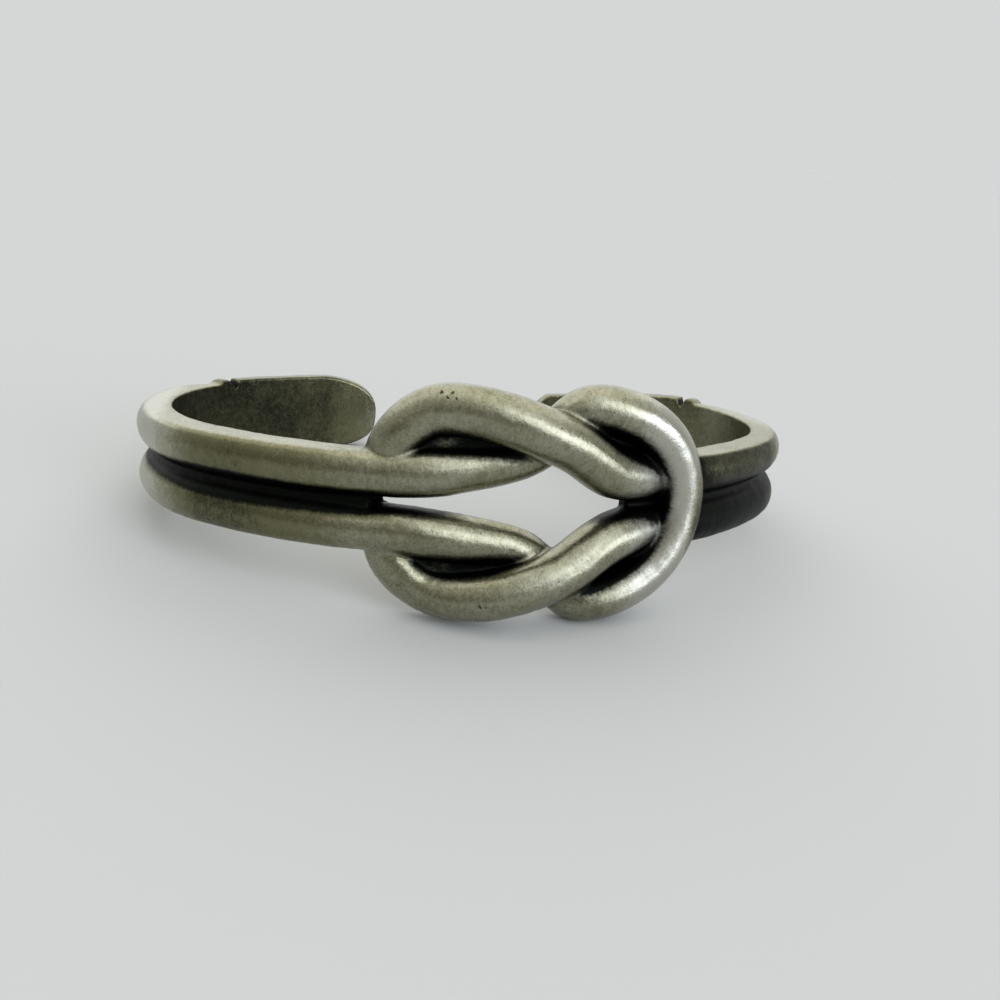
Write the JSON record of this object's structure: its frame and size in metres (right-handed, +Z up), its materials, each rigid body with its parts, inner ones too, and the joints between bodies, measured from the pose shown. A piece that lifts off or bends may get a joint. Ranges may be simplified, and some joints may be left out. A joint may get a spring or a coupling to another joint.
{
  "type": "knot cuff bracelet",
  "caption": "Open oval cuff bracelet cast in one piece: twin fused rods that form a two-strand reef knot at the front and end in thin round tabs at the open back.",
  "frame": {"origin": "bottom centre of the cuff's box as it rests on its side", "axes": "+X across the wrist, towards the viewer's right when the knot is seen from outside; -Y out through the knot; +Z up from the surface it rests on"},
  "size_m": [0.062, 0.0428, 0.019],
  "materials": {
    "pewter": "antiqued satin, blackened in the recesses"
  },
  "bodies": {
    "root": {"knot_cuff": "pewter"}
  },
  "joints": []
}
